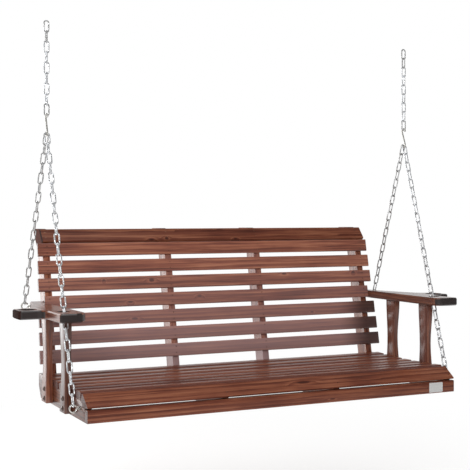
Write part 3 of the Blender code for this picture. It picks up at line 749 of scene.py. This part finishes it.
# %% Each board's look
back_tone = 1.32
back_painted_sheens = (0.58, 0.50, 0.34, 0.24, 0.16, 0.09, 0.05)
plain_look = (1.0, 0.0, lacquer)
looks = {
    "seat_slat": (0.96, 0.0, 0.0),
    "crest_slat": (0.80, 0.0, 0.0),
    "front_slat": (0.97, 0.0, 0.10),
    "apron": (0.97, 0.0, 0.10),
    # The uprights' raised tones are painted light, lifting them out of the slats' shadow.
    "middle_stile": (1.5, 0.25, 0.15),
    "stile_left": (1.6, 0.0, 0.21),
    "side_rail_left": (0.70, 0.0, lacquer),
    # The left front post's low tone is a painted shade on its front.
    "front_post_left": (0.50, 0.0, lacquer),
    "front_post_right": (0.85, 0.0, lacquer),
    "rear_post_right": (0.85, 0.0, lacquer),
    "arm_left": (0.80, 0.0, lacquer),
    "arm_right": (0.65, 0.0, lacquer),
}
for number, painted_sheen in enumerate(back_painted_sheens, 1):
    looks[f"back_slat_{number}"] = (back_tone, painted_sheen, lacquer)


def look_of(name):
    """Tone, painted sheen and lacquer of a board, its own or its kind's."""
    return looks.get(name) or looks.get(name.rsplit("_", 1)[0]) or plain_look


print("looks", len(looks))

# %% [markdown]
# ## The boards
#
# Now every wooden part is dressed in turn. Slats run along the bench, posts and uprights stand,
# and rails and arms run from front to back, so each kind has its grain that way round, its own
# easing and a spread of random tones that keeps neighbours apart.

# %% Every board
slats = ("seat_slat", "back_slat", "crest", "front_slat", "apron")
uprights = ("middle_stile", "stile")
posts = ("front_post_left", "front_post_right", "rear_post_left", "rear_post_right")
rails = ("side_rail", "seat_rib")
kinds = [{"starts": slats, "grain": "X", "easing": 0.0, "spread": (0.92, 1.08)},
         {"starts": uprights, "grain": "Z", "easing": 0.0015, "spread": (0.90, 1.05)},
         {"starts": posts, "grain": "Z", "easing": 0.0025, "spread": (0.90, 1.05)},
         {"starts": rails, "grain": "Y", "easing": 0.0015, "spread": (0.85, 0.95)},
         {"starts": "arm_", "grain": "Y", "easing": 0.0, "spread": None}]

for name in sorted(nodes):
    for kind in kinds:
        if name.startswith(kind["starts"]):
            tone, painted_sheen, coat = look_of(name)
            if kind["spread"]:
                tone *= dice.uniform(*kind["spread"])
            eased_board(name, kind["grain"], kind["easing"], tone, painted_sheen, coat)

# %% [markdown]
# ## Bent wire
#
# Chains, hooks and eyes are bent wire. Wire is made by pushing a ring of edges through space: on
# along a straight, swollen or shrunk on the way, or round a bend by a spin.

# %% Helpers for wire
def only(items, kind):
    """Those of some new items that are of one kind."""
    return [item for item in items if isinstance(item, kind)]


def start_ring(bm, radius, sides, place):
    """A first ring of edges, the section of the wire."""
    verts = bmesh.ops.create_circle(bm, segments=sides, radius=radius, matrix=place)["verts"]
    return list({edge for vert in verts for edge in vert.link_edges})


def grow(bm, edges, shift, scale=1.0):
    """Push a ring of edges on by a shift and resize it; returns the new ring."""
    grown = bmesh.ops.extrude_edge_only(bm, edges=edges)["geom"]
    verts = only(grown, BMVert)
    bmesh.ops.translate(bm, verts=verts, vec=shift)
    middle = sum((vert.co for vert in verts), Vector()) / len(verts)
    bmesh.ops.scale(bm, verts=verts, vec=(scale, scale, scale),
                    space=Matrix.Translation(-middle))
    return only(grown, BMEdge)


def turn_ring(bm, edges, centre, axis, angle, steps):
    """Spin a ring of edges about a line; returns the last ring."""
    verts = list({vert for edge in edges for vert in edge.verts})
    spun = bmesh.ops.spin(bm, geom=verts + edges, cent=centre, axis=axis, angle=angle,
                          steps=steps)["geom_last"]
    return only(spun, BMEdge)


def shaped_run(bm, edges, way, shares):
    """Push a ring on along a way, to a size at each share of it."""
    reached = 0.0
    size = 1.0
    for share, scale in shares:
        edges = grow(bm, edges, way * (share - reached), scale / size)
        reached = share
        size = scale
    return edges


def closed(bm):
    """Merge what meets and turn all faces outwards."""
    bmesh.ops.remove_doubles(bm, verts=bm.verts, dist=0.00001)
    bmesh.ops.recalc_face_normals(bm, faces=bm.faces)
    return bm


def kept_mesh(bm, name):
    """Close a pattern and keep it as a mesh."""
    closed(bm)
    mesh = bpy.data.meshes.new(name)
    bm.to_mesh(mesh)
    bm.free()
    return mesh


# %% [markdown]
# ## One chain link
#
# A chain link is a length of wire bent into a long ring and butt-welded on one side. So it is made
# the same way: a round section is pushed along the first straight, swollen a little at the weld,
# spun half a turn, pushed back and spun again.

# %% One link
link_wire = 0.0048
link_width = 0.020
link_pitch = 0.0341
link_sides = 10
bend_turns = 7
weld_shares = ((0.42, 1.0), (0.46, 1.13), (0.50, 1.18), (0.54, 1.13), (0.58, 1.0), (1.0, 1.0))


def link_pattern():
    """One link round the origin, its weld on the +X side."""
    bm = bmesh.new()
    bend = (link_width - link_wire) / 2
    straight = link_pitch - 2 * (bend - link_wire / 2)
    edges = start_ring(bm, link_wire / 2, link_sides,
                       Matrix.Translation((bend, 0, -straight / 2)))
    edges = shaped_run(bm, edges, Vector((0, 0, straight)), weld_shares)
    edges = turn_ring(bm, edges, (0, 0, straight / 2), (0, -1, 0), math.pi, bend_turns)
    edges = grow(bm, edges, (0, 0, -straight))
    turn_ring(bm, edges, (0, 0, -straight / 2), (0, -1, 0), math.pi, bend_turns)
    return kept_mesh(bm, "link_pattern")


link_mesh = link_pattern()
link_height = link_pitch + 2 * link_wire
print("link faces", len(link_mesh.polygons))


# %% [markdown]
# ## Runs of chain
#
# With one link made, a run is only a matter of counting. Its line is measured from the solid run:
# the middles of its top and lowest bends lie on it, whichever way the run leans. The link is
# copied down that line, turned a quarter each time, and every second pair is flipped so that the
# welds don't all sit on one side.

# %% The line of a run
def add_pattern(bm, mesh, place):
    """Add a kept mesh to a bmesh at a place."""
    before = len(bm.verts)
    bm.from_mesh(mesh)
    bm.verts.ensure_lookup_table()
    bmesh.ops.transform(bm, matrix=place, verts=bm.verts[before:])


def run_line(name):
    """Top and foot of a run's line, from the corner points of its two end bends."""
    points = {tuple(round(value, 6) for value in vert.co) for vert in nodes[name].data.vertices}
    highest = max(point[2] for point in points)
    lowest = min(point[2] for point in points)
    top = [Vector(point) for point in points if point[2] > highest - link_width]
    foot = [Vector(point) for point in points if point[2] < lowest + link_width]
    top = sum(top, Vector()) / len(top)
    foot = sum(foot, Vector()) / len(foot)
    way = (foot - top).normalized()
    along = [(Vector(point) - top).dot(way) for point in points]
    return top + way * min(along), top + way * max(along)


# %% Runs of chain
wire_smooth = math.radians(80)


def chain_run(name):
    """Links from a run's top to its foot, every second one turned a quarter."""
    top, foot = run_line(name)
    up = (top - foot).normalized()
    across = (Vector((1, 0, 0)) - up * up.x).normalized()
    frame_turn = Matrix((across, up.cross(across), up)).transposed().to_4x4()
    count = round(((top - foot).length - 2 * link_wire) / link_pitch)
    middle = (top + foot) / 2
    bm = bmesh.new()
    for index in range(count):
        lift = ((count - 1) / 2 - index) * link_pitch
        quarter = index % 2 * math.pi / 2
        flip = index // 2 % 2 * math.pi
        place = (Matrix.Translation(middle + up * lift) @ frame_turn
                 @ Matrix.Rotation(quarter + flip, 4, "Z"))
        add_pattern(bm, link_mesh, place)
    return bm, count


for name in named("chain"):
    bm, count = chain_run(name)
    # Front and upper runs take the painted lit copy; the rear runs the plain chain plate.
    plate = "chain_zinc" if name.startswith("rear") else "bright_zinc"
    steel_piece(bm, "links", name, plate, wire_smooth)
    print(name, count, "links")

# %% [markdown]
# ## Single links
#
# The links that carry the swing's joints are parts of their own, so each is one link set in the
# middle of its solid. The topmost pair is held by the porch, and is squeezed a hair to stay
# inside the measured height.

# %% Single links
single_links = named("link")
for name in single_links:
    low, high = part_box(name)
    bm = bmesh.new()
    turned = math.pi / 2 if name.startswith("swing_link") else 0
    squeeze = (high.z - low.z) / link_height if name.startswith("top_link") else 1.0
    add_pattern(bm, link_mesh, Matrix.Translation((low + high) / 2)
                @ Matrix.Rotation(turned, 4, "Z") @ Matrix.Diagonal((1, 1, squeeze, 1)))
    steel_piece(bm, "ring", name, "chain_zinc", wire_smooth)
print("single links", len(single_links))

# %% [markdown]
# ## S-hooks
#
# The S-hook is one bent wire: a straight through the middle and a loop at each end, the lower one
# holding both lower chains. Half of it is swept from the middle, given a rounded tip, and turned
# over for the other half.

# %% S-hooks
hook_wire = 0.006
hook_inner_radius = 0.0065
hook_inner_length = 0.064
hook_mouth = math.radians(205)
hook_turns = 18
wire_sides = 12
hook_smooth = math.radians(60)
tip_shares = ((0.30, 0.92), (0.55, 0.70), (0.68, 0.35))


def hook_pattern():
    """An S-hook round the origin, swept from its middle and turned over."""
    bm = bmesh.new()
    loop = hook_inner_radius + hook_wire / 2
    apart = hook_inner_length - 2 * hook_inner_radius
    cross = math.acos(2 * loop / apart)
    upper = Vector((0, 0, apart / 2))
    touch = upper + Vector((0, math.sin(cross), -math.cos(cross))) * loop
    heading = touch.normalized()
    lean = math.atan2(touch.z, touch.y) - math.pi / 2
    edges = start_ring(bm, hook_wire / 2, wire_sides, Matrix.Rotation(lean, 4, "X"))
    edges = grow(bm, edges, heading * touch.length)
    edges = turn_ring(bm, edges, upper, (1, 0, 0), hook_mouth, hook_turns)
    onward = Matrix.Rotation(hook_mouth, 3, "X") @ heading
    edges = shaped_run(bm, edges, onward * hook_wire / 2, tip_shares)
    bmesh.ops.holes_fill(bm, edges=edges, sides=wire_sides)
    half = kept_mesh(bm, "hook_half")
    bm = bmesh.new()
    add_pattern(bm, half, Matrix.Identity(4))
    add_pattern(bm, half, Matrix.Rotation(math.pi, 4, "X"))
    return kept_mesh(bm, "hook_pattern")


hook_mesh = hook_pattern()
for side in ("left", "right"):
    name = f"s_hook_{side}"
    low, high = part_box(name)
    bm = bmesh.new()
    add_pattern(bm, hook_mesh, Matrix.Translation((low + high) / 2))
    steel_piece(bm, "bent", name, "fitting_zinc", hook_smooth)
print("hook faces", len(hook_mesh.polygons))

# %% [markdown]
# ## Eye bolts
#
# Each lower chain ends in an eye bolt: a wire bent into a ring at the end of a threaded shank. Its
# ring isn't welded shut, so a narrow slit is left where the wire comes back to the shank. Two
# washers clamp it to the board, with a nut inside and, where there is room, another outside. Shank
# and washers are spun from a profile, as on a lathe; a nut is a six-sided block with the sharp
# corners of its ends taken off.

# %% Helpers for bolts
shank_radius = 0.003
washer_radius = 0.0065
past_shank = washer_radius * 0.9
nut_radius = 0.0062
nut_thick = 0.005
nut_chamfer = 0.0006
bolt_smooth = math.radians(40)


def bolt_line(name):
    """A bolt's side, its middle, and how far out its tip and its end are."""
    side = 1 if "right" in name else -1
    low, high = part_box(name)
    tip = low.x if side > 0 else -high.x
    outer = high.x if side > 0 else -low.x
    return side, (low + high) / 2, tip, outer


def face_places(name, place, least=-1.0, most=1.0):
    """How far out a solid has corner points, between two distances beside its axis."""
    return sorted({round(abs(vert.co.x), 5) for vert in nodes[name].data.vertices
                   if least < abs(vert.co.y - place.y) < most})


def spun_profile(bm, profile, side, place, steps=20):
    """Spin a profile of (reach, radius) points about a line along X through a place."""
    verts = [bm.verts.new((side * reach, place.y, place.z + radius)) for reach, radius in profile]
    edges = [bm.edges.new(pair) for pair in zip(verts, verts[1:])]
    bmesh.ops.spin(bm, geom=verts + edges, cent=place, axis=(1, 0, 0), angle=math.tau,
                   steps=steps, use_merge=True)


def washer_profile(start, end):
    """A washer on a shank."""
    return [(start, shank_radius), (start, washer_radius), (end, washer_radius),
            (end, shank_radius)]


def hex_nut(bm, side, low, high, place):
    middle = Vector((side * (low + high) / 2, place.y, place.z))
    turned = Matrix.Translation(middle) @ Matrix.Rotation(math.pi / 2, 4, "Y")
    made = bmesh.ops.create_cone(bm, cap_ends=True, segments=6, radius1=nut_radius,
                                 radius2=nut_radius, depth=high - low, matrix=turned)
    faces = {face for vert in made["verts"] for face in vert.link_faces}
    rims = {edge for face in faces if abs(face.normal.x) > 0.9 for edge in face.edges}
    ease(bm, list(rims), nut_chamfer)


# %% Eye bolts
eye_wire = 0.006
eye_radius = 0.0115
eye_slit = math.radians(14)
eye_turns = 32
thread_pitch = 0.001
thread_root = 0.88
blunt_tip = 0.8


def shank_profile(tip, inner_nut, washers, neck):
    """Profile of a threaded shank with its two washers, from its tip to the eye."""
    profile = [(tip, 0), (tip, shank_radius * blunt_tip), (tip + thread_pitch / 2, shank_radius)]
    turn = tip + thread_pitch
    while turn < inner_nut:
        profile += [(turn, shank_radius), (turn + thread_pitch / 2, shank_radius * thread_root)]
        turn += thread_pitch
    profile += washer_profile(*washers[:2]) + washer_profile(*washers[2:])
    return profile + [(neck, shank_radius), (neck, 0)]


def eye_bolt(name):
    """An eye bolt, its washers' places read from the solid."""
    side, place, tip, outer = bolt_line(name)
    reach = outer - eye_radius - eye_wire / 2
    washers = face_places(name, place, past_shank)
    inner_nut = washers[0] - nut_thick
    room = reach - eye_radius - eye_wire / 2 - washers[3]
    bm = bmesh.new()
    spun_profile(bm, shank_profile(tip, inner_nut, washers, reach - eye_radius), side, place)
    hex_nut(bm, side, inner_nut, washers[0], place)
    if room > nut_thick:
        hex_nut(bm, side, washers[3], washers[3] + nut_thick, place)
    centre = Vector((side * reach, place.y, place.z))
    begin = centre + Vector((-side * eye_radius, 0, 0))
    edges = start_ring(bm, eye_wire / 2, wire_sides, Matrix.Translation(begin))
    bmesh.ops.holes_fill(bm, edges=edges, sides=wire_sides)
    edges = turn_ring(bm, edges, centre, (0, side, 0), -(math.tau - 2 * eye_slit), eye_turns)
    bmesh.ops.holes_fill(bm, edges=edges, sides=wire_sides)
    return closed(bm)


eye_bolts = named("eye_bolt")
for name in eye_bolts:
    steel_piece(eye_bolt(name), "forged", name, "fitting_zinc", bolt_smooth)
print("eye bolts", len(eye_bolts))

# %% [markdown]
# ## Post bolts
#
# The posts are bolted to the seat's rails from outside. Their low domed heads have a socket for a
# key and look dark; a washer and a nut hold them inside.

# %% Post bolts
head_radius = 0.008
dome_shares = ((0.30, 0.98), (0.62, 0.84), (0.88, 0.58))
inside_head = head_radius * 0.85
head_levels = 3
socket_radius = 0.0028
socket_depth = 0.0016
socket_rim = 1.15
socket_foot = 0.95
head_turns = 24


def post_bolt(name):
    """A domed bolt; the solid's head has corner points at three levels."""
    side, place, tip, outer = bolt_line(name)
    head = face_places(name, place)[-head_levels]
    washers = face_places(name, place, past_shank, inside_head)
    rise = outer - head
    dome = [(head + rise * share, head_radius * width) for share, width in dome_shares]
    floor_of_socket = outer - socket_depth
    profile = [(tip, 0), (tip, shank_radius), *washer_profile(*washers[:2]),
               (head, shank_radius), (head, head_radius), *dome,
               (outer, socket_radius * socket_rim), (outer, socket_radius),
               (floor_of_socket, socket_radius * socket_foot), (floor_of_socket, 0)]
    bm = bmesh.new()
    spun_profile(bm, profile, side, place, head_turns)
    hex_nut(bm, side, washers[0] - nut_thick, washers[0], place)
    return closed(bm)


post_bolts = named("post_bolt")
for name in post_bolts:
    steel_piece(post_bolt(name), "domed", name, "dark_zinc", bolt_smooth)
print("post bolts", len(post_bolts))

# %% [markdown]
# ## Screws
#
# Two screws hold each slat to each upright or rail behind it. Only their sunk heads show, as pairs
# of dots in line with the uprights. One head is a small dished disc, repeated at every crossing.

# %% One screw head
screw_radius = 0.0024
screw_proud = 0.0002
screw_sides = 10
screw_ring = 0.45
recess_slope = 0.15
recess_depth = 0.0010


def screw_pattern():
    """A low disc with a recess in the middle."""
    bm = bmesh.new()
    bmesh.ops.create_circle(bm, cap_ends=True, segments=screw_sides, radius=screw_radius,
                            matrix=Matrix.Translation((0, 0, -screw_proud)))
    face = bm.faces[:][0]
    if face.normal.z < 0:
        face.normal_flip()
    grown = bmesh.ops.extrude_face_region(bm, geom=[face])["geom"]
    bmesh.ops.translate(bm, verts=only(grown, BMVert), vec=(0, 0, 2 * screw_proud))
    top = only(grown, BMFace)
    bmesh.ops.inset_region(bm, faces=top, thickness=screw_radius * screw_ring, depth=0.0)
    bmesh.ops.inset_region(bm, faces=top, thickness=screw_radius * recess_slope,
                           depth=-recess_depth)
    return kept_mesh(bm, "screw_pattern")


screw_mesh = screw_pattern()
print("screw faces", len(screw_mesh.polygons))

# %% Rows of screws
screw_spread = 0.0115
looks_that_way = 0.5
to_the_sitter = (0, -1, 0.3)
up_from_seat = (0, -0.3, 1)
behind_back = ["stile_left", "middle_stile_left", "middle_stile_right", "stile_right"]
under_seat = ["side_rail_left", "seat_rib_left", "seat_rib_right", "side_rail_right"]


def widest_face(name, towards):
    """Middle and outward direction of a board's largest face that looks one way."""
    bm = merged_copy(name)
    faces = [face for face in bm.faces if face.normal.dot(Vector(towards)) > looks_that_way]
    face = max(faces, key=lambda one: one.calc_area())
    middle = face.calc_center_bounds()
    normal = face.normal.copy()
    bm.free()
    return middle, normal


def screw_row(bm, board, towards, supports):
    """Two screw heads on a board over each of its supports; returns how many."""
    middle, normal = widest_face(board, towards)
    across = normal.cross(Vector((1, 0, 0))).normalized()
    frame_turn = Matrix((Vector((1, 0, 0)), -across, normal)).transposed().to_4x4()
    for support in supports:
        low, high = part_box(support)
        for sign in (-1, 1):
            place = Vector(((low.x + high.x) / 2, middle.y, middle.z))
            place += across * sign * screw_spread
            add_pattern(bm, screw_mesh, Matrix.Translation(place) @ frame_turn
                        @ Matrix.Rotation(dice.uniform(0, math.pi), 4, "Z"))
    return 2 * len(supports)


back_screws = bmesh.new()
seat_screws = bmesh.new()
count = 0
for name in sorted(nodes):
    if name.startswith(("back_slat", "crest")):
        count += screw_row(back_screws, name, to_the_sitter, behind_back)
    elif name.startswith(("seat_slat", "front_slat")):
        count += screw_row(seat_screws, name, up_from_seat, under_seat)
finished_piece(back_screws, "back_screws", "bench", [zinc["screw_zinc"]])
finished_piece(seat_screws, "seat_screws", "bench", [zinc["screw_zinc"]])
print("screws", count)

# %% [markdown]
# ## A blank plate
#
# Near the right end of the front edge sits a small pale plate, let into the board so that its face
# lies almost level with the wood. It is drawn as a rectangle, rounded at its corners, and pushed
# back to give it its thickness. The noise that colours it is squeezed into thin level lines,
# because its metal is brushed lengthways.

# %% Shape of the plate
plate_share = 0.9425
plate_half_length = 0.0285
plate_half_height = 0.0170
plate_proud = 0.0003
plate_corner = 0.0025
low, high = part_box("apron")
plate_middle = Vector((low.x + (high.x - low.x) * plate_share, low.y + plate_bed - plate_proud,
                       (low.z + high.z) / 2))
bm = bmesh.new()
verts = []
for across, up in ((-1, -1), (1, -1), (1, 1), (-1, 1)):
    corner = Vector((across * plate_half_length, 0, up * plate_half_height))
    verts.append(bm.verts.new(plate_middle + corner))
bm.faces.new(verts)
ease(bm, verts, plate_corner, "VERTICES", 4)
bmesh.ops.recalc_face_normals(bm, faces=bm.faces)
face = bm.faces[:][0]
if face.normal.y > 0:
    face.normal_flip()
grown = bmesh.ops.extrude_face_region(bm, geom=[face])["geom"]
bmesh.ops.translate(bm, verts=only(grown, BMVert), vec=(0, 2 * plate_proud, 0))
bmesh.ops.recalc_face_normals(bm, faces=bm.faces)
rims = [edge for edge in bm.edges if edge.calc_face_angle() > sharp_angle
        and max(vert.co.y for vert in edge.verts) < low.y + plate_bed]
ease(bm, rims, plate_proud / 2)
print("plate stands at", [round(value, 3) for value in plate_middle])

# %% Finish of the plate
brush_stretch = (30.0, 30.0, 2600.0)
brush_range = (0.30, 0.70)
brush_colours = ((0.60, 0.60, 0.60), (0.78, 0.78, 0.77))
brush_roughness = (0.38, 0.52)
plate_finish, tree, shader, place = new_finish("blank_plate")
brush_lines = drawn_out_noise(tree, place, brush_stretch, 3.0)
colour = ramp_node(tree, brush_lines, list(zip(brush_range, brush_colours)))
roughness = range_node(tree, brush_lines, *brush_range, *brush_roughness)
fill(tree, shader, {"Base Color": colour, "Roughness": roughness})
finished_piece(bm, "blank_plate", "bench", [plate_finish])
print("plate roughness", brush_roughness)
